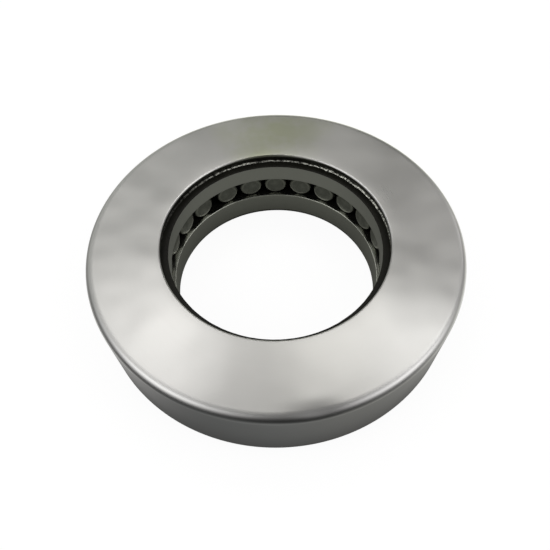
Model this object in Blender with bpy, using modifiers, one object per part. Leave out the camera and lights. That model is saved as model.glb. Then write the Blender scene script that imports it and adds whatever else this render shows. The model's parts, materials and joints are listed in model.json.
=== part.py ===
"""Steering-pivot thrust bearing: a full set of tapered rollers between two rings, held together
by a pressed-steel cover.

Frame: origin at the centre of the bottom face, +Z up along the bearing's axis. Metres.
The rollers' axes are horizontal and meet the bearing's axis at one point, the apex, so both
raceways are shallow cones through it.
"""

import math

import bpy

# ---- whole bearing ----------------------------------------------------------
COVER_R = 0.06642 / 2      # outside of the cover
BORE_R = 0.03836 / 2       # both rings
HEIGHT = 0.015875          # bottom of the lower ring to the top of the cover

APEX_Z = 0.007895          # height of the roller axes
TAPER = 0.1204             # roller radius / distance from the apex
BORE_EDGE = 0.00015        # broken edges at the rings' bores

# ---- cover ------------------------------------------------------------------
SHEET = 0.0020             # thickness
COVER_INNER_R = COVER_R - SHEET
COVER_UNDER_Z = HEIGHT - SHEET
COVER_CORNER = 0.00125     # radius of the outer top corner
COVER_BEND = 0.0040        # radius of the wide bend between the flat top and the corner
COVER_LEAN = 7.0           # degrees through which the wide bend turns
COVER_INNER_BEVEL = 0.0003  # inside corner under the top
OPENING_R = 0.02032        # opening, at its narrowest
OPENING_ROLL = 0.00033     # rolled-over upper edge of the opening
OPENING_FLARE = 0.00044    # the sheared wall widens by this towards the inside
SKIRT_BOTTOM = 0.0028
SKIRT_EDGE = 0.0004        # rounding of the skirt's lower outer edge
LIP_DEPTH = 0.00086        # turned-in lip under the lower ring's rib
LIP_HEIGHT = 0.00070

# ---- upper ring -------------------------------------------------------------
SEAT_GAP = 0.00003         # upper ring to the cover's top
UPPER_R = 0.03116
UPPER_TOP_BEVEL = 0.0007   # outer top edge
UPPER_LOW_BEVEL = 0.0003   # outer edge of the raceway

# ---- lower ring -------------------------------------------------------------
RIB_R = 0.02955            # rib face that guides the rollers' large ends
RIB_OUTER_R = 0.03095
RIB_TOP = 0.0074
RIB_INNER_BEVEL = 0.0002
RIB_OUTER_BEVEL = 0.0003
LOWER_R = 0.03020          # below the step
STEP_Z = 0.00365
BOTTOM_OUTER_BEVEL = 0.0005
BOTTOM_BORE_BEVEL = 0.00065

# ---- rollers ----------------------------------------------------------------
RUNNING_GAP = 0.00003      # roller to raceway
SMALL_END = 0.01993        # apex to the flat small ends
LARGE_END = 0.02940        # apex to the spherical large ends
SMALL_EDGE = 0.00055       # size of the small ends' edge, broken in two facets
SMALL_EDGE_SHARE = 0.3     # the facets meet this share of the edge in from each face
LARGE_EDGE = 0.0004        # broken edge of the large ends
CROWN_SHARE = 0.6          # the large end's middle ring of points, as a share of its radius

# The rollers run loose, with no cage: they close up into runs, and the free space collects
# in a gap after each run.
ROLLER_RUNS = 2
ROLLERS_PER_RUN = 12
ROLLER_PITCH = 14.8        # degrees between neighbours in a run
FIRST_ROLLER = -28.3       # azimuth of the first run's first roller, from +Y towards +X

# ---- mesh resolution --------------------------------------------------------
RING_STEPS = 64
ROLLER_STEPS = 16
BEND_STEPS = 2
CORNER_STEPS = 5
SKIRT_EDGE_STEPS = 2
OPENING_ROLL_STEPS = 3
MERGE_DISTANCE = 0.000002  # welds the seam and the points on the axis

for leftover in list(bpy.data.objects):
    bpy.data.objects.remove(leftover, do_unlink=True)

parts = bpy.data.collections.new("thrust_bearing")
bpy.context.scene.collection.children.link(parts)


# ---- materials --------------------------------------------------------------
def steel(name, colour, roughness):
    skin = bpy.data.materials.new(name)
    skin.use_nodes = True
    shader = skin.node_tree.nodes["Principled BSDF"]
    shader.inputs["Base Color"].default_value = (*colour, 1.0)
    shader.inputs["Roughness"].default_value = roughness
    shader.inputs["Metallic"].default_value = 1.0
    return skin


SATIN_STEEL = steel("satin_steel", colour=(0.50, 0.50, 0.48), roughness=0.36)
UPPER_STEEL = steel("upper_race_steel", colour=(0.30, 0.30, 0.29), roughness=0.42)
LOWER_STEEL = steel("lower_race_steel", colour=(0.25, 0.25, 0.24), roughness=0.42)
ROLLER_STEEL = steel("roller_steel", colour=(0.34, 0.34, 0.33), roughness=0.30)


# ---- profiles: lists of (radius, z) points ----------------------------------
def arc(centre_r, centre_z, radius, start, end, steps):
    """Points on a circle, both ends included; angles in degrees, 0 outward, 90 towards +Z."""
    turn = (end - start) / steps
    angles = [math.radians(start + turn * i) for i in range(steps + 1)]
    return [
        (centre_r + radius * math.cos(angle), centre_z + radius * math.sin(angle))
        for angle in angles
    ]


def turned(name, profile, steps, skin, closed=True):
    """A solid turned about its local Z. An open profile starts and ends on the axis."""
    mesh = bpy.data.meshes.new(name)
    edges = [(i, i + 1) for i in range(len(profile) - 1)]
    if closed:
        edges.append((len(profile) - 1, 0))
    mesh.from_pydata([(radius, 0.0, z) for radius, z in profile], edges, [])
    mesh.materials.append(skin)
    piece = bpy.data.objects.new(name, mesh)
    parts.objects.link(piece)

    screw = piece.modifiers.new("turn", "SCREW")
    screw.axis = "Z"
    screw.angle = 2 * math.pi
    screw.steps = screw.render_steps = steps
    screw.use_merge_vertices = True
    screw.merge_threshold = MERGE_DISTANCE
    screw.use_smooth_shade = True
    return piece


def upper_raceway_z(radius):
    return APEX_Z + TAPER * radius


def lower_raceway_z(radius):
    return APEX_Z - TAPER * radius


# ---- pieces -----------------------------------------------------------------
def cover_corner():
    """The cover's outside from its flat top to its side: the wide bend, then the tight corner."""
    lean = math.radians(COVER_LEAN)
    bend_r = COVER_R - COVER_CORNER * (1 - math.sin(lean)) - COVER_BEND * math.sin(lean)
    corner_z = HEIGHT - COVER_BEND * (1 - math.cos(lean)) - COVER_CORNER * math.cos(lean)
    corner_start = 90 - COVER_LEAN
    bend = arc(bend_r, HEIGHT - COVER_BEND, COVER_BEND, 90, corner_start, BEND_STEPS)
    corner = arc(COVER_R - COVER_CORNER, corner_z, COVER_CORNER, corner_start, 0, CORNER_STEPS)
    # The bend's last point is the corner's first.
    return bend[:-1] + corner


def cover():
    """One deep-drawn sheet: flat top, rounded corner, skirt, and a lip turned in below the rib."""
    skirt_edge = arc(
        COVER_R - SKIRT_EDGE, SKIRT_BOTTOM + SKIRT_EDGE, SKIRT_EDGE, 0, -90, SKIRT_EDGE_STEPS
    )
    opening_edge = arc(
        OPENING_R + OPENING_ROLL, HEIGHT - OPENING_ROLL, OPENING_ROLL, 180, 90, OPENING_ROLL_STEPS
    )
    lip_r = COVER_INNER_R - LIP_DEPTH
    lip_top = SKIRT_BOTTOM + LIP_HEIGHT
    inside = [
        (lip_r, SKIRT_BOTTOM),
        (lip_r, lip_top),
        (COVER_INNER_R, lip_top),
        (COVER_INNER_R, COVER_UNDER_Z - COVER_INNER_BEVEL),
        (COVER_INNER_R - COVER_INNER_BEVEL, COVER_UNDER_Z),
        (OPENING_R + OPENING_FLARE, COVER_UNDER_Z),
    ]
    profile = cover_corner() + skirt_edge + inside + opening_edge
    turned("cover", profile, RING_STEPS, SATIN_STEEL)


def upper_race():
    """A ring seated in the cover, with its tapered raceway underneath."""
    top = COVER_UNDER_Z - SEAT_GAP
    raceway_outer_r = UPPER_R - UPPER_LOW_BEVEL
    raceway_inner_r = BORE_R + BORE_EDGE
    profile = [
        (UPPER_R - UPPER_TOP_BEVEL, top),
        (UPPER_R, top - UPPER_TOP_BEVEL),
        (UPPER_R, upper_raceway_z(UPPER_R) + UPPER_LOW_BEVEL),
        (raceway_outer_r, upper_raceway_z(raceway_outer_r)),
        (raceway_inner_r, upper_raceway_z(raceway_inner_r)),
        (BORE_R, upper_raceway_z(BORE_R) + BORE_EDGE),
        (BORE_R, top - BORE_EDGE),
        (BORE_R + BORE_EDGE, top),
    ]
    turned("upper_race", profile, RING_STEPS, UPPER_STEEL)


def lower_race():
    """The ring that stands on the axle: tapered raceway on top, the rib outside it, and the
    step that the cover's lip holds."""
    raceway_inner_r = BORE_R + BORE_EDGE
    profile = [
        (RIB_R + RIB_INNER_BEVEL, RIB_TOP),
        (RIB_OUTER_R - RIB_OUTER_BEVEL, RIB_TOP),
        (RIB_OUTER_R, RIB_TOP - RIB_OUTER_BEVEL),
        (RIB_OUTER_R, STEP_Z),
        (LOWER_R, STEP_Z),
        (LOWER_R, BOTTOM_OUTER_BEVEL),
        (LOWER_R - BOTTOM_OUTER_BEVEL, 0.0),
        (BORE_R + BOTTOM_BORE_BEVEL, 0.0),
        (BORE_R, BOTTOM_BORE_BEVEL),
        (BORE_R, lower_raceway_z(BORE_R) - BORE_EDGE),
        (raceway_inner_r, lower_raceway_z(raceway_inner_r)),
        (RIB_R, lower_raceway_z(RIB_R)),
        (RIB_R, RIB_TOP - RIB_INNER_BEVEL),
    ]
    turned("lower_race", profile, RING_STEPS, LOWER_STEEL)


def roller_side(z):
    """Radius of a roller at a distance z from the apex."""
    return TAPER * z - RUNNING_GAP


def first_roller():
    """A tapered roller along local +Z, with its apex at the local origin."""
    large_r = roller_side(LARGE_END) - LARGE_EDGE
    large_z = math.sqrt(LARGE_END**2 - large_r**2)
    crown_r = CROWN_SHARE * large_r
    crown_z = math.sqrt(LARGE_END**2 - crown_r**2)
    side_top = large_z - LARGE_EDGE
    side_bottom = SMALL_END + SMALL_EDGE
    small_r = roller_side(SMALL_END)
    facet = SMALL_EDGE_SHARE * SMALL_EDGE
    profile = [
        (0.0, LARGE_END),
        (crown_r, crown_z),
        (large_r, large_z),
        (roller_side(side_top), side_top),
        (roller_side(side_bottom), side_bottom),
        (small_r - facet, SMALL_END + facet),
        (small_r - SMALL_EDGE, SMALL_END),
        (0.0, SMALL_END),
    ]
    return turned("roller_01", profile, ROLLER_STEPS, ROLLER_STEEL, closed=False)


def rollers():
    """All rollers share one mesh. Each has its origin at the apex and its local Z outward."""
    azimuths = [
        FIRST_ROLLER + 360.0 / ROLLER_RUNS * run + ROLLER_PITCH * i
        for run in range(ROLLER_RUNS)
        for i in range(ROLLERS_PER_RUN)
    ]
    first = first_roller()
    for number, azimuth in enumerate(azimuths, start=1):
        roller = first
        if number > 1:
            roller = first.copy()
            roller.name = f"roller_{number:02d}"
            parts.objects.link(roller)
        roller.location = (0.0, 0.0, APEX_Z)
        roller.rotation_euler = (math.pi / 2, 0.0, math.pi - math.radians(azimuth))


cover()
upper_race()
lower_race()
rollers()
bpy.context.view_layer.update()
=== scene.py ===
"""Looks of a steering-pivot thrust bearing: turned rings, loose tapered rollers, pressed cover.

The bearing's axis is Z. The lower race stands on z = 0 and the cover closes the ring from above.
The camera looks down towards +Y, so -Y is the near side and +X the right.
Profiles are in millimetres as (radius, height); meshes are in metres.
"""

import json
import math

import bmesh
import bpy
from mathutils import Matrix, Vector, noise


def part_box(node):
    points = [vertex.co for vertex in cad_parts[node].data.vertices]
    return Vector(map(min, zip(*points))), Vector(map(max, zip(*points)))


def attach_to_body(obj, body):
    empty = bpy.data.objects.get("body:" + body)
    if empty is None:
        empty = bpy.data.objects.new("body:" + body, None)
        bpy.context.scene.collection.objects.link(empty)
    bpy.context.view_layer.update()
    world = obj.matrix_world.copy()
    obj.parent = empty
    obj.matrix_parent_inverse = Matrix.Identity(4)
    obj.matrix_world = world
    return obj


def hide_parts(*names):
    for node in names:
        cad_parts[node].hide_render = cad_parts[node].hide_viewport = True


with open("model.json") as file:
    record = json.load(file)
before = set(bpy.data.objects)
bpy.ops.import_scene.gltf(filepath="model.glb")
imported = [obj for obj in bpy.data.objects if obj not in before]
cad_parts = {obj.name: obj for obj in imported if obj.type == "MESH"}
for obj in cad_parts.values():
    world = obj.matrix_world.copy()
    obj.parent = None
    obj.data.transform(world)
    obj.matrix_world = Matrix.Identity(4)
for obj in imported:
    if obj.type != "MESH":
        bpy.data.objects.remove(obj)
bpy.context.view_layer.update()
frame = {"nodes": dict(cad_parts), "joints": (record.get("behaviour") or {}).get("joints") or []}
MM = 0.001


# ---- sizes in mm, taken from the CAD frame ---------------------------------
def inner_radius(node):
    vertices = frame["nodes"][node].data.vertices
    return min(round(math.hypot(v.co.x, v.co.y) / MM, 3) for v in vertices)


cover_low, cover_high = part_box("cover")
upper_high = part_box("upper_race")[1]
lower_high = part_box("lower_race")[1]
COVER_R = cover_high.x / MM
TOP = cover_high.z / MM
SKIRT_Z = cover_low.z / MM
UPPER_R = upper_high.x / MM
UPPER_TOP = upper_high.z / MM
RIB_R = lower_high.x / MM
RIB_TOP = lower_high.z / MM
OPENING_R = inner_radius("cover")
UPPER_BORE_R = inner_radius("upper_race")
LOWER_BORE_R = inner_radius("lower_race")
APEX = Vector(frame["joints"][0]["pos_m"])  # where the roller axes meet
APEX_Z = APEX.z / MM

TAPER = 0.1204  # slope of the raceways, and of a roller's side from its axis
SHEET = 2.0  # thickness of the cover
SEGMENTS = 288  # round a race; the cover has twice as many


# ---- profiles --------------------------------------------------------------
def arc(centre_r, centre_z, radius, start, end, count):
    """Points on a circle, ends included; degrees, 0 outward, 90 up."""
    points = []
    for i in range(count + 1):
        angle = math.radians(start + (end - start) * i / count)
        points.append((centre_r + radius * math.cos(angle), centre_z + radius * math.sin(angle)))
    return points


def line(start, end, count):
    """Points from start to end in count equal steps, ends included."""
    return [
        (start[0] + (end[0] - start[0]) * i / count, start[1] + (end[1] - start[1]) * i / count)
        for i in range(count)
    ] + [end]


def soft_corner(outer, top, tight, soft, lean, count):
    """From the flat top to the side: a wide bend up to lean degrees, then a tight one."""
    turn = math.radians(lean)
    start = outer - tight * (1 - math.sin(turn)) - soft * math.sin(turn)
    middle = top - soft * (1 - math.cos(turn)) - tight * math.cos(turn)
    wide = [
        (start + soft * math.sin(turn * i / count), top - soft * (1 - math.cos(turn * i / count)))
        for i in range(count)
    ]
    return wide + arc(outer - tight, middle, tight, 90 - lean, 0, 3 * count)


def upper_track_z(radius):
    return APEX_Z + TAPER * radius


def lower_track_z(radius):
    return APEX_Z - TAPER * radius


def wander(angle, turns, seed, z=0.0):
    """A smooth closed random line round the axis, about -1 to 1."""
    at = Vector((math.cos(angle) * turns, math.sin(angle) * turns, seed + z))
    return noise.noise(at) * 1.6


# ---- turned solids ---------------------------------------------------------
def lathe(name, slots, groups, segments=SEGMENTS, closed=True):
    """A turned solid with the named materials in its slots.

    Each group is (material name, points) with an optional third entry,
    a function of (angle, r, z) that gives the moved (r, z).
    """
    profile = [(steel, move, r, z) for steel, points, *move in groups for r, z in points]
    bm = bmesh.new()
    rows = []
    for _, move, r, z in profile:
        if r < 1e-6:  # on the axis the whole row is one vertex
            rows.append([bm.verts.new((0.0, 0.0, z * MM))] * segments)
            continue
        row = []
        for k in range(segments):
            angle = 2 * math.pi * k / segments
            radius, height = move[0](angle, r, z) if move else (r, z)
            across = (radius * math.cos(angle) * MM, radius * math.sin(angle) * MM)
            row.append(bm.verts.new((*across, height * MM)))
        rows.append(row)
    count = len(profile)
    for i in range(count if closed else count - 1):
        row, following = rows[i], rows[(i + 1) % count]
        for k in range(segments):
            m = (k + 1) % segments
            corners = []
            for vertex in (row[k], row[m], following[m], following[k]):
                if vertex not in corners:
                    corners.append(vertex)
            if len(corners) > 2:
                bm.faces.new(corners).material_index = slots.index(profile[i][0])
    bmesh.ops.recalc_face_normals(bm, faces=bm.faces[:])
    mesh = bpy.data.meshes.new(name)
    bm.to_mesh(mesh)
    bm.free()
    mesh.shade_smooth()
    mesh.set_sharp_from_angle(angle=math.radians(40))
    for slot in slots:
        mesh.materials.append(MATERIALS[slot])
    piece = bpy.data.objects.new(name, mesh)
    bpy.context.scene.collection.objects.link(piece)
    return piece


def attach(piece, body, node):
    """Put a piece on its moving body, in place of a CAD node."""
    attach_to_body(piece, body)
    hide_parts(node)


# ---- node trees ------------------------------------------------------------
class Nodes:
    """A short way to write the node tree of a material or world."""

    def __init__(self, owner):
        owner.use_nodes = True
        self.owner = owner
        self.tree = owner.node_tree

    def put(self, socket, value):
        """Set a socket to a plain value, or link an output to it."""
        if isinstance(value, (int, float, tuple)):
            socket.default_value = value
        else:
            self.tree.links.new(value, socket)

    def fill(self, node, values):
        for name, value in values.items():
            self.put(node.inputs[name], value)

    def add(self, kind, *inputs, **settings):
        """A new node with its first inputs filled in order."""
        node = self.tree.nodes.new(kind)
        for key, value in settings.items():
            setattr(node, key, value)
        for index, value in enumerate(inputs):
            self.put(node.inputs[index], value)
        return node

    def math(self, operation, first, second=0.0, third=0.0, clamp=False):
        inputs = (first, second, third)
        node = self.add("ShaderNodeMath", *inputs, operation=operation, use_clamp=clamp)
        return node.outputs[0]

    def plus(self, first, second):
        return self.math("ADD", first, second)

    def times(self, first, second):
        return self.math("MULTIPLY", first, second)

    def centred(self, value, size):
        """A 0 to 1 value spread evenly about zero, size wide."""
        return self.times(self.math("SUBTRACT", value, 0.5), size)

    def vector(self, operation, first, second=(0.0, 0.0, 0.0)):
        node = self.add("ShaderNodeVectorMath", first, second, operation=operation)
        return node.outputs["Vector"]

    def scaled(self, vector, factor):
        result = self.vector("SCALE", vector)
        self.put(result.node.inputs["Scale"], factor)
        return result

    def combine(self, x, y, z):
        return self.add("ShaderNodeCombineXYZ", x, y, z).outputs[0]

    def mix_shader(self, factor, first, second):
        return self.add("ShaderNodeMixShader", factor, first, second).outputs[0]

    def ramp(self, value, stops):
        """A colour ramp; stops are (position, grey or colour)."""
        node = self.add("ShaderNodeValToRGB", value)
        elements = node.color_ramp.elements
        while len(elements) < len(stops):
            elements.new(0.5)
        for element, (position, colour) in zip(elements, stops):
            element.position = position
            element.color = (*(colour if isinstance(colour, tuple) else (colour,) * 3), 1.0)
        return node.outputs[0]

    def noise(self, vector, scale, detail, rough=0.5, w=None):
        dimensions = "3D" if w is None else "4D"
        node = self.add("ShaderNodeTexNoise", noise_dimensions=dimensions)
        values = {"Vector": vector, "Scale": scale, "Detail": detail, "Roughness": rough}
        self.fill(node, values if w is None else {**values, "W": w})
        return node.outputs[0]

    def bump(self, height, strength, distance, below=None):
        node = self.add("ShaderNodeBump")
        self.fill(node, {"Strength": strength, "Distance": distance, "Height": height})
        if below is not None:
            self.put(node.inputs["Normal"], below)
        return node.outputs[0]

    def polar(self):
        """(place in mm, radius in mm, cos, sin, height in mm) round the object's own Z."""
        at = self.add("ShaderNodeTexCoord").outputs["Object"]
        place = self.scaled(at, 1 / MM)
        x, y, z = self.add("ShaderNodeSeparateXYZ", place).outputs
        radius = self.math("SQRT", self.plus(self.times(x, x), self.times(y, y)))
        safe = self.math("MAXIMUM", radius, 0.0001)
        return place, radius, self.math("DIVIDE", x, safe), self.math("DIVIDE", y, safe), z

    def tangent(self):
        """The direction of turning marks: round the object's own Z."""
        at = self.add("ShaderNodeTexCoord").outputs["Object"]
        across = self.vector("CROSS_PRODUCT", (0.0, 0.0, 1.0), at)
        turn = self.add(
            "ShaderNodeVectorTransform", across,
            vector_type="VECTOR", convert_from="OBJECT", convert_to="WORLD",
        )
        return self.vector("NORMALIZE", turn.outputs[0])


# ---- materials -------------------------------------------------------------
def painted_reflection_tint(nodes, shade, polar, reflection_tint):
    """A painted reflection: a streaky, darker olive tint on the +Y side of the steel."""
    place, radius, cos, sin, _ = polar
    streak = nodes.noise(place, scale=0.16, detail=3.0, rough=0.6)
    amount = nodes.times(
        nodes.ramp(nodes.times(cos, cos), ((0.0, 1.0), (0.20, 0.0))),
        nodes.ramp(sin, ((0.5, 0.0), (0.9, 1.0))),
    )
    amount = nodes.times(amount, nodes.ramp(streak, ((0.38, 0.35), (0.60, 1.0))))
    # it fades out over 1.6 mm and ends 0.6 mm inside the cover's side
    inward = nodes.math("SUBTRACT", COVER_R - 0.6, radius)
    amount = nodes.times(amount, nodes.math("DIVIDE", inward, 1.6, clamp=True))
    tint = nodes.add("ShaderNodeMix", data_type="RGBA", blend_type="MULTIPLY")
    nodes.put(tint.inputs["Factor"], nodes.times(amount, reflection_tint))
    nodes.put(tint.inputs[6], shade)
    # the darker olive colour of the painted reflection
    nodes.put(tint.inputs[7], (0.84, 0.88, 0.69, 1.0))
    return tint.outputs[2]


def turned_steel(
    name, colour, roughness, marks, aniso=0.0, mottle=0.1, grain=0.16, patch=0.09,
    waviness=0.0, corner=None, reflection_tint=0.0, metallic=1.0, specular=0.5,
):
    """Steel with fine circular marks and blotches.

    marks and mottle: how much the marks and the blotches change the tone
    grain: how much the marks change the roughness and the relief
    patch: scale of the blotches; waviness: shallow relief of pressed sheet
    corner: radii between which roughness and aniso change to other values
    """
    nodes = Nodes(bpy.data.materials.new(name))
    shader = nodes.tree.nodes["Principled BSDF"]
    polar = nodes.polar()
    place, radius, cos, sin, height = polar
    times, plus = nodes.times, nodes.plus
    # the marks are long round the axis and very narrow across it
    across = nodes.combine(times(cos, 3.0), times(sin, 3.0), times(radius, 9.0))
    fine = nodes.noise(across, scale=1.0, detail=4.0, rough=0.65, w=times(height, 9.0))
    broad = nodes.noise(across, scale=0.22, detail=3.0, rough=0.5, w=times(height, 2.0))
    blotch = nodes.noise(place, scale=patch, detail=3.0, rough=0.55)
    both = plus(times(fine, 0.5), times(broad, 0.5))
    tone = plus(plus(nodes.centred(both, marks), nodes.centred(blotch, mottle)), 1.0)
    shade = nodes.scaled(colour, tone)
    # a darker olive reflection painted on the +Y side
    if reflection_tint:
        shade = painted_reflection_tint(nodes, shade, polar, reflection_tint)
    rough = plus(roughness, nodes.centred(fine, grain))
    rough = plus(rough, nodes.centred(blotch, 0.06))
    normal = nodes.bump(fine, strength=0.6 * grain, distance=0.00002)
    if waviness:
        wave = nodes.noise(place, scale=0.10, detail=1.0)
        normal = nodes.bump(wave, strength=waviness, distance=0.0012, below=normal)
    nodes.fill(shader, {
        "Base Color": shade,
        "Metallic": metallic,
        "Specular IOR Level": specular,
        "Anisotropic": aniso,
        "Anisotropic Rotation": 0.25,
        "Tangent": nodes.tangent(),
        "Normal": normal,
    })
    if corner:  # the drawing die leaves the rounded corner with a finish of its own
        outward = nodes.math("SUBTRACT", radius, corner["start"])
        share = nodes.math("DIVIDE", outward, corner["end"] - corner["start"])
        share = nodes.math("SMOOTH_MIN", nodes.math("MAXIMUM", share, 0.0), 1.0, 0.3)
        rough = plus(rough, times(share, corner["roughness"] - roughness))
        changed = nodes.math("MULTIPLY_ADD", share, corner["aniso"] - aniso, aniso)
        nodes.put(shader.inputs["Anisotropic"], changed)
    nodes.put(shader.inputs["Roughness"], rough)
    return nodes.owner


def painted_glint_burr(name):
    """The ragged burr of a punched edge, with its glint painted into the colour: bright in ragged
    sparks, strongest on the +Y half, towards +X.
    """
    nodes = Nodes(bpy.data.materials.new(name))
    _, _, cos, sin, height = nodes.polar()
    times = nodes.times
    # ragged cells, placed by angle and height
    along = nodes.combine(times(cos, 20.0), times(sin, 20.0), times(height, 2.5))
    ragged = nodes.noise(along, scale=2.4, detail=4.0, rough=0.7)
    patches = nodes.noise(along, scale=0.16, detail=2.0)
    # painted glint: the colour is brightest where the burr faces +Y, towards +X, and near black
    # elsewhere
    facing = nodes.plus(times(sin, 0.87), times(cos, 0.50))
    facing = nodes.math("MULTIPLY_ADD", facing, 0.5, 0.5)
    side = nodes.ramp(facing, ((0.5, 0.07), (0.66, 0.25), (0.86, 1.0)))
    spark = nodes.ramp(ragged, ((0.42, 0.06), (0.51, 0.55), (0.58, 1.0)))
    tone = times(times(spark, side), nodes.math("MULTIPLY_ADD", patches, 1.1, 0.25))
    nodes.fill(nodes.tree.nodes["Principled BSDF"], {
        "Base Color": nodes.scaled((0.95, 0.96, 0.86), tone),
        "Metallic": 1.0,
        "Roughness": 0.42,
        "Normal": nodes.bump(ragged, strength=0.8, distance=0.00006),
    })
    return nodes.owner


STEELS = {
    "satin_cover": dict(
        colour=(0.56, 0.56, 0.55), roughness=0.29, aniso=0.74, marks=0.04, mottle=0.32,
        patch=0.06, grain=0.03, waviness=0.10, reflection_tint=1.0,
        corner=dict(start=COVER_R - 2.2, end=COVER_R - 0.5, roughness=0.31, aniso=0.61),
    ),
    "satin_side": dict(
        colour=(0.505, 0.505, 0.50), roughness=0.34, aniso=0.26, marks=0.04, mottle=0.16,
        grain=0.03,
    ),
    "cover_inside": dict(colour=(0.30, 0.30, 0.29), roughness=0.45, marks=0.1),
    "sheared_edge": dict(colour=(0.07, 0.07, 0.06), roughness=0.42, marks=0.6, mottle=0.8),
    # black with old oil, so the steel hardly shines through
    "ledge_black": dict(
        colour=(0.0125, 0.0125, 0.0095), roughness=0.45, marks=1.4, mottle=1.0, patch=0.3,
        metallic=0.0, specular=0.14,
    ),
    # the bore's bottom chamfer, darkened with painted shade where the ring stands on the table
    "chamfer_painted_shade": dict(colour=(0.07, 0.07, 0.06), roughness=0.45, marks=0.4),
    "upper_bore": dict(
        colour=(0.45, 0.455, 0.43), roughness=0.38, aniso=0.5, marks=0.05, grain=0.06
    ),
    "lower_bore": dict(
        colour=(0.37, 0.375, 0.35), roughness=0.36, aniso=0.5, marks=0.10, mottle=0.22,
        grain=0.06,
    ),
    "edge_glint": dict(colour=(0.52, 0.53, 0.48), roughness=0.26, marks=1.2, mottle=1.6),
    "raceway": dict(colour=(0.16, 0.163, 0.145), roughness=0.32, aniso=0.4, marks=0.2),
    "ground_face": dict(colour=(0.42, 0.42, 0.40), roughness=0.34, aniso=0.6, marks=0.25),
    "roller_side": dict(colour=(0.25, 0.255, 0.23), roughness=0.28, aniso=0.3, marks=0.1),
    "roller_end": dict(
        colour=(0.215, 0.22, 0.20), roughness=0.42, marks=0.3, mottle=1.5, patch=0.5
    ),
}
MATERIALS = {name: turned_steel(name, **settings) for name, settings in STEELS.items()}
MATERIALS["burr_painted_glint"] = painted_glint_burr("burr_painted_glint")


# ---- the pressed cover -----------------------------------------------------
def make_cover():
    rounding = 0.26  # of the opening's top edge
    inner, under = COVER_R - SHEET, TOP - SHEET
    lip = inner - 0.86  # inner radius of the turned-in skirt
    flare = OPENING_R + 0.44  # the punched hole widens downwards to this
    corner = soft_corner(COVER_R, TOP, tight=1.25, soft=4.0, lean=7.0, count=9)
    top_in, top_out = OPENING_R + rounding, corner[0][0]
    fillet = TOP - corner[-1][1]

    top = [(top_in, TOP)] + line((top_in + 0.12, TOP), (top_out - 0.15, TOP), 24)
    side = line((COVER_R, TOP - fillet - 0.15), (COVER_R, SKIRT_Z + 0.6), 10)
    bottom = arc(COVER_R - 0.4, SKIRT_Z + 0.4, 0.4, 0, -90, 6)
    bottom += [(COVER_R - 0.6, SKIRT_Z), (lip + 0.5, SKIRT_Z)]
    turned_in = arc(lip + 0.3, SKIRT_Z + 0.3, 0.3, 270, 180, 5)
    turned_in += arc(lip + 0.22, SKIRT_Z + 0.48, 0.22, 180, 90, 4)
    turned_in += [(inner - 0.3, SKIRT_Z + 0.70)]
    inside = arc(inner - 0.25, SKIRT_Z + 0.95, 0.25, -90, 0, 3)
    inside += [(inner, SKIRT_Z + 1.5), (inner, under - 0.6)]
    inside += arc(inner - 0.3, under - 0.3, 0.3, 0, 90, 4)
    inside += [(inner - 0.6, under), (flare + 0.35, under)]
    burr = [
        (flare + 0.10, under),
        (flare - 0.10, under),
        (flare - 0.22, under + 0.01),
        (flare - 0.26, under + 0.04),
        (flare - 0.24, under + 0.08),
        (flare - 0.17, under + 0.14),
        (flare - 0.07, under + 0.19),
    ]
    sheared = line((flare - 0.02, under + 0.26), (OPENING_R, TOP - rounding - 0.40), 7)
    edge = arc(OPENING_R + rounding, TOP - rounding, rounding, 180, 90, 8)[:-1]

    def press(angle, r, z):
        if r < COVER_R - 6.0:  # the metal drawn down a little by the punch
            return r, z - 0.08 * math.exp(-(r - OPENING_R) / 1.1)
        # a shallow dent in the rim, at -Y and a little towards +X
        away = (math.degrees(angle) - 279.0 + 180.0) % 360.0 - 180.0
        away /= 5.6 if away > 0.0 else 7.0
        across = min(1.0, max(0.0, (r - COVER_R + 3.4) / 2.4)) ** 2
        depth = 0.20 * math.exp(-(away**2)) * across
        return r, z - depth * min(1.0, 1.0 - (TOP - z) / fillet)

    def roughen_burr(angle, r, z):
        offset = wander(angle, 22, 3.0, z * 3) * 0.04 + wander(angle, 70, 8.0, z * 5) * 0.035
        return r + offset, max(z + wander(angle, 40, 5.0) * 0.04, under)

    def tear(angle, r, z):
        """Torn metal below the burnished band."""
        depth = (TOP - rounding - z) / SHEET
        offset = wander(angle, 35, 12.0, z * 2.5) * 0.05 + wander(angle, 90, 21.0, z * 5) * 0.03
        return r + offset * min(1.0, depth * 1.6), z

    piece = lathe(
        "pressed_cover",
        ["satin_cover", "satin_side", "cover_inside", "sheared_edge", "burr_painted_glint"],
        [
            ("satin_cover", top, press),
            ("satin_cover", corner, press),
            ("satin_side", side + bottom),
            ("cover_inside", turned_in + inside),
            ("burr_painted_glint", burr, roughen_burr),
            ("sheared_edge", sheared, tear),
            ("satin_cover", edge, press),
        ],
        segments=SEGMENTS * 2,
    )
    attach(piece, "upper_assembly", "cover")


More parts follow.
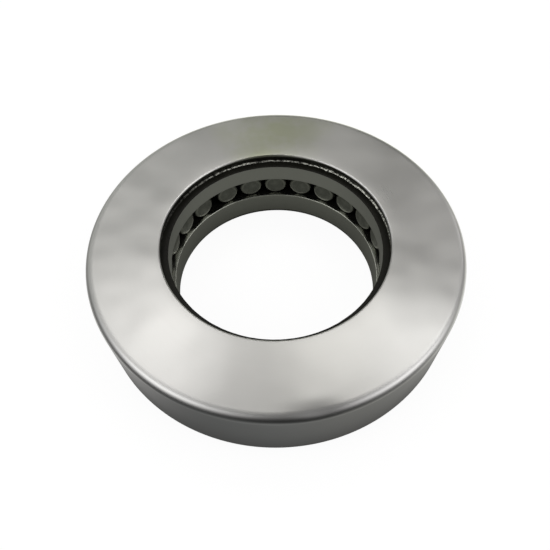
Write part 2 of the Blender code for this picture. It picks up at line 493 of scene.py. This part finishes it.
# ---- the upper race --------------------------------------------------------
def make_upper_race():
    bore, top = UPPER_BORE_R, UPPER_TOP
    edge = 0.14  # rounding of the bore's edges
    low = upper_track_z(bore)
    face = line((bore + edge + 0.05, top), (UPPER_R - 0.9, top), 12)
    outer = [
        (UPPER_R - 0.7, top),
        (UPPER_R, top - 0.7),
        (UPPER_R, top - 0.9),
        (UPPER_R, upper_track_z(UPPER_R) + 0.4),
    ]
    outer += arc(UPPER_R - 0.3, upper_track_z(UPPER_R - 0.3) + 0.3, 0.3, 0, -83, 5)
    track_out, track_in = UPPER_R - 0.4, bore + 0.3
    track = line(
        (track_out, upper_track_z(track_out)), (track_in, upper_track_z(track_in)), 12
    )[1:]
    lower_edge = arc(bore + edge, low + 0.155, edge, 277, 180, 6)
    wall = line((bore, low + 0.16), (bore, top - edge - 0.02), 8)[1:-1]
    upper_edge = arc(bore + edge, top - edge, edge, 180, 90, 6)

    def waver(angle, r, z):
        return r + wander(angle, 26, 31.0) * 0.018, z

    piece = lathe(
        "upper_race_ring",
        ["upper_bore", "ledge_black", "raceway"],
        [
            ("ledge_black", face),
            ("upper_bore", outer),
            ("raceway", track),
            ("upper_bore", lower_edge + wall),
            ("ledge_black", upper_edge, waver),
        ],
    )
    attach(piece, "upper_assembly", "upper_race")


# ---- the lower race --------------------------------------------------------
def make_lower_race():
    bore, chamfer = LOWER_BORE_R, 0.65
    rib = 29.55  # inner radius of the rib round the rollers
    foot, step_z = 30.20, 3.65  # outer radius below the rib, and the height where it starts
    top = lower_track_z(bore)
    rib_top = arc(rib + 0.25, RIB_TOP - 0.25, 0.25, 180, 90, 4)
    rib_top += arc(RIB_R - 0.3, RIB_TOP - 0.3, 0.3, 90, 0, 4)
    outer = [(RIB_R, RIB_TOP - 0.5), (RIB_R, step_z + 0.2)]
    outer += arc(RIB_R - 0.12, step_z + 0.12, 0.12, 0, -90, 3)
    outer += [(foot + 0.15, step_z), (foot, step_z - 0.15), (foot, step_z - 0.3), (foot, 0.8)]
    outer += arc(foot - 0.5, 0.5, 0.5, 0, -90, 6)
    face = line((foot - 0.7, 0.0), (bore + chamfer + 0.12, 0.0), 14)
    # the bottom chamfer of the bore; its dark colour is painted shade
    bevel = [
        (bore + chamfer, 0.0),
        (bore + chamfer - 0.08, 0.05),
        (bore + 0.30, 0.28),
        (bore + 0.13, 0.50),
        (bore + 0.04, 0.75),
        (bore, 0.95),
    ]
    wall = line((bore, 1.02), (bore, top - 0.32), 8)
    glint = [(bore, top - 0.22)] + arc(bore + 0.11, top - 0.135, 0.11, 180, 84, 5)
    track_in, track_out = bore + 0.2, rib - 0.1
    track = line(
        (track_in, lower_track_z(track_in)), (track_out, lower_track_z(track_out)), 14
    )[1:-1]
    track += [
        (rib - 0.25, lower_track_z(rib - 0.25)),
        (rib, lower_track_z(rib) + 0.2),
        (rib, RIB_TOP - 0.5),
    ]

    def wear(angle, r, z):
        worn = abs(wander(angle, 30, 41.0) * 0.022 + wander(angle, 80, 47.0) * 0.014)
        return r + worn, z - worn * 0.5

    piece = lathe(
        "lower_race_ring",
        ["lower_bore", "ground_face", "edge_glint", "raceway", "chamfer_painted_shade"],
        [
            ("lower_bore", rib_top + outer),
            ("ground_face", face),
            ("chamfer_painted_shade", bevel),
            ("lower_bore", wall),
            ("edge_glint", glint, wear),
            ("raceway", track),
        ],
    )
    attach(piece, "lower_race", "lower_race")


# ---- the rollers -----------------------------------------------------------
def roller_profile():
    """Groups for one roller on its own axis, heights measured from the apex."""
    small, large = 19.93, 29.40  # the two ends
    gap, edge = 0.03, 0.55  # clearance to the raceways, rounding of the small end

    def side(z):
        return TAPER * z - gap

    flat = side(small) - edge
    rim = side(large) - 0.45
    rim_z = math.sqrt(large**2 - rim**2)
    # the large end is a sphere about the apex
    end = [(0.0, large)]
    end += [(rim * t, math.sqrt(large**2 - (rim * t) ** 2)) for t in (0.3, 0.6, 0.85, 1.0)]
    body_top = (side(rim_z - 0.45), rim_z - 0.45)
    shoulder = [(rim + 0.22, rim_z - 0.05), (side(rim_z) - 0.07, rim_z - 0.22), body_top]
    body = line(body_top, (side(small + edge), small + edge), 6)[1:-1]
    near = arc(flat, small + edge, edge + 0.004, -7, -90, 8)
    near = [(min(r, side(z)), max(z, small)) for r, z in near]
    face = [(flat - 0.12, small), (flat * 0.66, small), (flat * 0.33, small), (0.0, small)]
    return [("roller_side", end + shoulder + body + near), ("roller_end", face)]


def make_rollers():
    slots = ["roller_side", "roller_end"]
    first = lathe("roller_face", slots, roller_profile(), segments=48, closed=False)
    names = sorted(name for name in frame["nodes"] if name.startswith("roller_"))
    for index, name in enumerate(names):
        cad = [v.co for v in frame["nodes"][name].data.vertices]
        middle = sum(cad, Vector()) / len(cad) - APEX
        azimuth = math.atan2(middle.x, middle.y)
        piece = first
        if index:
            piece = first.copy()
            bpy.context.scene.collection.objects.link(piece)
        piece.name = "tapered_" + name
        spin = noise.noise(Vector((7.3 * index, 1.7, 0.0))) * 40
        piece.matrix_world = (
            Matrix.Translation(APEX)
            @ Matrix.Rotation(math.pi - azimuth, 4, "Z")
            @ Matrix.Rotation(math.pi / 2, 4, "X")
            @ Matrix.Rotation(spin, 4, "Z")
        )
        attach(piece, name, name)


# ---- floor -----------------------------------------------------------------
# What polished steel sees of the table, as painted shade that glows: darker away from the axis,
# towards and under the ring, where the ring shades the table. (distance from the axis in 100 mm,
# colour).
FLOOR_SHADES = (
    (0.03, (0.27, 0.275, 0.245)),
    (0.12, (0.215, 0.22, 0.195)),
    (0.185, (0.10, 0.102, 0.09)),
    (0.30, (0.08, 0.08, 0.078)),
)
FLOOR_FADE = ((0.0, 0.0), (0.333, 0.0), (0.40, 1.0))  # same distance, share of clear


def floor_material():
    nodes = Nodes(bpy.data.materials.new("pale_floor"))
    nodes.tree.nodes.remove(nodes.tree.nodes["Principled BSDF"])
    glow = nodes.add("ShaderNodeEmission", (1.0, 1.0, 1.0, 1.0), 0.93).outputs[0]
    plain = nodes.add("ShaderNodeBsdfDiffuse", (0.12, 0.12, 0.12, 1.0)).outputs[0]
    lit = nodes.add("ShaderNodeAddShader", glow, plain).outputs[0]
    clear = nodes.add("ShaderNodeBsdfTransparent").outputs[0]
    reach = nodes.times(nodes.polar()[1], 0.01)
    # painted shade of the table: a glow that only reflections see
    shade = nodes.add("ShaderNodeEmission", nodes.ramp(reach, FLOOR_SHADES)).outputs[0]
    mirrored = nodes.mix_shader(nodes.ramp(reach, FLOOR_FADE), shade, clear)
    path = nodes.add("ShaderNodeLightPath").outputs
    glossy = path["Is Glossy Ray"]
    table = nodes.mix_shader(glossy, lit, mirrored)
    # seen from below there is no table, and the bottom face doesn't mirror the one it stands on
    near = nodes.math("LESS_THAN", path["Ray Length"], 0.0005)
    below = nodes.add("ShaderNodeNewGeometry").outputs["Backfacing"]
    hidden = nodes.math("MAXIMUM", below, nodes.times(near, glossy))
    surface = nodes.mix_shader(hidden, table, clear)
    nodes.put(nodes.tree.nodes["Material Output"].inputs[0], surface)
    nodes.owner.cycles.emission_sampling = "NONE"
    return nodes.owner


def make_floor():
    bm = bmesh.new()
    bmesh.ops.create_circle(bm, cap_ends=True, segments=96, radius=4.0)
    mesh = bpy.data.meshes.new("pale_floor")
    bm.to_mesh(mesh)
    bm.free()
    floor = bpy.data.objects.new("pale_floor", mesh)
    bpy.context.scene.collection.objects.link(floor)
    floor.location.z = -0.00002
    mesh.materials.append(floor_material())


# ---- studio light ----------------------------------------------------------
# Each lobe is one soft source far away: azimuth (0 at +Y, 90 at +X), elevation,
# sharpness (higher is narrower), strength, colour.
LOBES = [
    (108, 42, 13, 2.18, (1.01, 1.00, 1.00)),
    (250, 49, 12, 2.14, (1.01, 1.00, 1.00)),
    (11, 61.4, 150, 3.95, (1.03, 1.01, 0.97)),
    (50, 60, 150, 3.70, (1.01, 1.00, 0.99)),
    (337.5, 59.4, 150, 4.2, (1.02, 1.00, 0.98)),
    (46, 32, 53, 1.28, (1.02, 0.99, 0.99)),
    (314, 23, 7.2, 0.60, (1.00, 1.01, 0.97)),
    (5, -19, 8.3, 1.75, (1.03, 1.05, 0.92)),
    (67.5, -26.5, 6.2, 1.18, (1.02, 1.02, 0.97)),
    (287, -42, 13, 1.05, (1.01, 1.00, 0.98)),
    (195, -50, 7, 0.24, (0.98, 1.01, 1.00)),
    (130, -50, 9, 0.22, (1.03, 1.02, 0.95)),
]


def direction(azimuth, elevation):
    a, e = math.radians(azimuth), math.radians(elevation)
    return (math.sin(a) * math.cos(e), math.cos(a) * math.cos(e), math.sin(e))


def make_world():
    """The lobes added up on black; the camera itself sees plain white."""
    world = bpy.data.worlds.new("studio")
    bpy.context.scene.world = world
    nodes = Nodes(world)
    nodes.tree.nodes.clear()
    add = nodes.add
    at = add("ShaderNodeTexCoord").outputs["Generated"]
    total = (0.0, 0.0, 0.0)
    for azimuth, elevation, sharp, strength, colour in LOBES:
        towards = direction(azimuth, elevation)
        dot = add("ShaderNodeVectorMath", at, towards, operation="DOT_PRODUCT").outputs["Value"]
        power = add("ShaderNodeMath", dot, sharp, -sharp, operation="MULTIPLY_ADD").outputs[0]
        lobe = add("ShaderNodeMath", power, operation="EXPONENT").outputs[0]
        tint = tuple(strength * c for c in colour)
        total = add("ShaderNodeVectorMath", tint, lobe, total, operation="MULTIPLY_ADD").outputs[0]
    camera_ray = add("ShaderNodeLightPath").outputs["Is Camera Ray"]
    seen = add("ShaderNodeMixRGB", camera_ray, total, (1.0, 1.0, 1.0, 1.0)).outputs[0]
    add("ShaderNodeOutputWorld", add("ShaderNodeBackground", seen).outputs[0])


# ---- camera ----------------------------------------------------------------
def make_camera():
    data = bpy.data.cameras.new("camera")
    data.sensor_width = 36.0
    data.lens = 33.83
    data.clip_start, data.clip_end = 0.005, 20.0
    camera = bpy.data.objects.new("camera", data)
    bpy.context.scene.collection.objects.link(camera)
    pitch, roll = math.radians(56.24), math.radians(-1.64)
    forward = Vector((0, math.cos(pitch), -math.sin(pitch)))
    up = Vector((0, math.sin(pitch), math.cos(pitch)))
    right = Vector((1, 0, 0))
    # from the camera to the middle of the cover's top, in cover radii
    offset = 0.00652 * right + 0.20690 * up + 2.74228 * forward
    place = Vector((0, 0, TOP * MM)) - COVER_R * MM * offset
    rolled_right = math.cos(roll) * right + math.sin(roll) * up
    rolled_up = -math.sin(roll) * right + math.cos(roll) * up
    axes = Matrix((rolled_right, rolled_up, -forward)).transposed()
    camera.matrix_world = Matrix.Translation(place) @ axes.to_4x4()
    bpy.context.scene.camera = camera


make_cover()
make_upper_race()
make_lower_race()
make_rollers()
make_floor()
make_world()
make_camera()
bpy.context.scene.view_settings.view_transform = "Standard"
